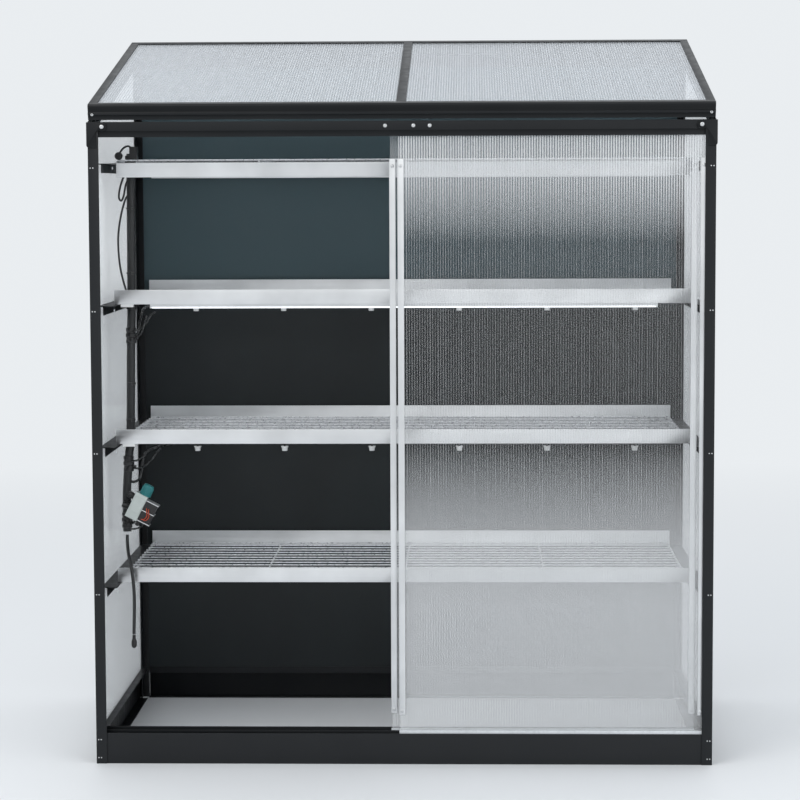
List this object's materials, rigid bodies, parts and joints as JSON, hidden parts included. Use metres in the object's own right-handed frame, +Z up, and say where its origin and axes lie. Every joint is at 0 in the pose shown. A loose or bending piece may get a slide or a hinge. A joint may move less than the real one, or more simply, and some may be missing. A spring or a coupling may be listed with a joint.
{
  "type": "cold frame",
  "caption": "Tall free-standing cold frame with twin-wall panels, sliding front doors, a hinged sloping lid, wire shelves and a watering line.",
  "frame": {"origin": "on the floor, at the middle of the footprint", "axes": "+Z up, -Y towards the front with the doors, +X to the right seen from the front"},
  "size_m": [1.3166, 0.7147, 1.5693],
  "materials": {
    "black_frame": "satin black powder coat",
    "mill_aluminium": "satin mill finish",
    "galvanised_wire": "bright zinc",
    "twin_wall_sheet": "ribbed translucent polycarbonate",
    "charcoal_sheet": "matte charcoal ribbed sheet",
    "edging": "pale grey",
    "black_rubber": "matte",
    "white_plastic": "semi gloss",
    "valve_plastic": "teal and pale grey plastic"
  },
  "bodies": {
    "frame": {"back_panel": "charcoal_sheet", "base_front": "black_frame", "base_left": "black_frame", "base_rear": "black_frame", "base_right": "black_frame", "corner_bracket_left": "black_frame", "corner_bracket_right": "black_frame", "door_track_bottom": "black_frame", "door_track_top": "black_frame", "drip_valve": "valve_plastic", "feed_dripper": "black_rubber", "feed_hose": "black_rubber", "light_strip": "white_plastic", "mist_line_2": "white_plastic", "mist_line_3": "white_plastic", "post_front_left": "black_frame", "post_front_right": "black_frame", "post_rear_left": "black_frame", "post_rear_right": "black_frame", "shelf_bar_front_1": "mill_aluminium", "shelf_bar_front_2": "mill_aluminium", "shelf_bar_front_3": "mill_aluminium", "shelf_bar_front_4": "mill_aluminium", "shelf_bar_rear_1": "mill_aluminium", "shelf_bar_rear_2": "mill_aluminium", "shelf_bar_rear_3": "mill_aluminium", "shelf_bar_rear_4": "mill_aluminium", "shelf_grid_1": "galvanised_wire", "shelf_grid_2": "galvanised_wire", "shelf_grid_3": "galvanised_wire", "shelf_grid_4": "galvanised_wire", "shelf_rail_left_1": "black_frame", "shelf_rail_left_2": "black_frame", "shelf_rail_left_3": "black_frame", "shelf_rail_left_4": "black_frame", "shelf_rail_right_1": "black_frame", "shelf_rail_right_2": "black_frame", "shelf_rail_right_3": "black_frame", "shelf_rail_right_4": "black_frame", "side_panel_left": "twin_wall_sheet", "side_panel_right": "twin_wall_sheet", "top_rail_left": "black_frame", "top_rail_rear": "black_frame", "top_rail_right": "black_frame", "water_riser": "black_rubber"},
    "lid": {"lid_bar_centre": "black_frame", "lid_pane_left": "twin_wall_sheet", "lid_pane_right": "twin_wall_sheet", "lid_rail_front": "black_frame", "lid_rail_left": "black_frame", "lid_rail_rear": "black_frame", "lid_rail_right": "black_frame"},
    "front_door": {"front_door_bottom_edge": "edging", "front_door_handle_left": "mill_aluminium", "front_door_handle_right": "mill_aluminium", "front_door_panel": "twin_wall_sheet"},
    "rear_door": {"rear_door_bottom_edge": "edging", "rear_door_handle_left": "mill_aluminium", "rear_door_handle_right": "mill_aluminium", "rear_door_panel": "twin_wall_sheet"}
  },
  "joints": [
    {"name": "lid_hinge", "type": "hinge", "parent": "frame", "child": "lid", "pos_m": [0, 0.352, 1.53894], "axis": [-1, 0, 0], "range_deg": [0, 75]},
    {"name": "front_door_slide", "type": "slide", "parent": "frame", "child": "front_door", "axis": [-1, 0, 0], "range_m": [0, 0.63]},
    {"name": "rear_door_slide", "type": "slide", "parent": "frame", "child": "rear_door", "axis": [-1, 0, 0], "range_m": [-0.0176, 0.6124]}
  ]
}
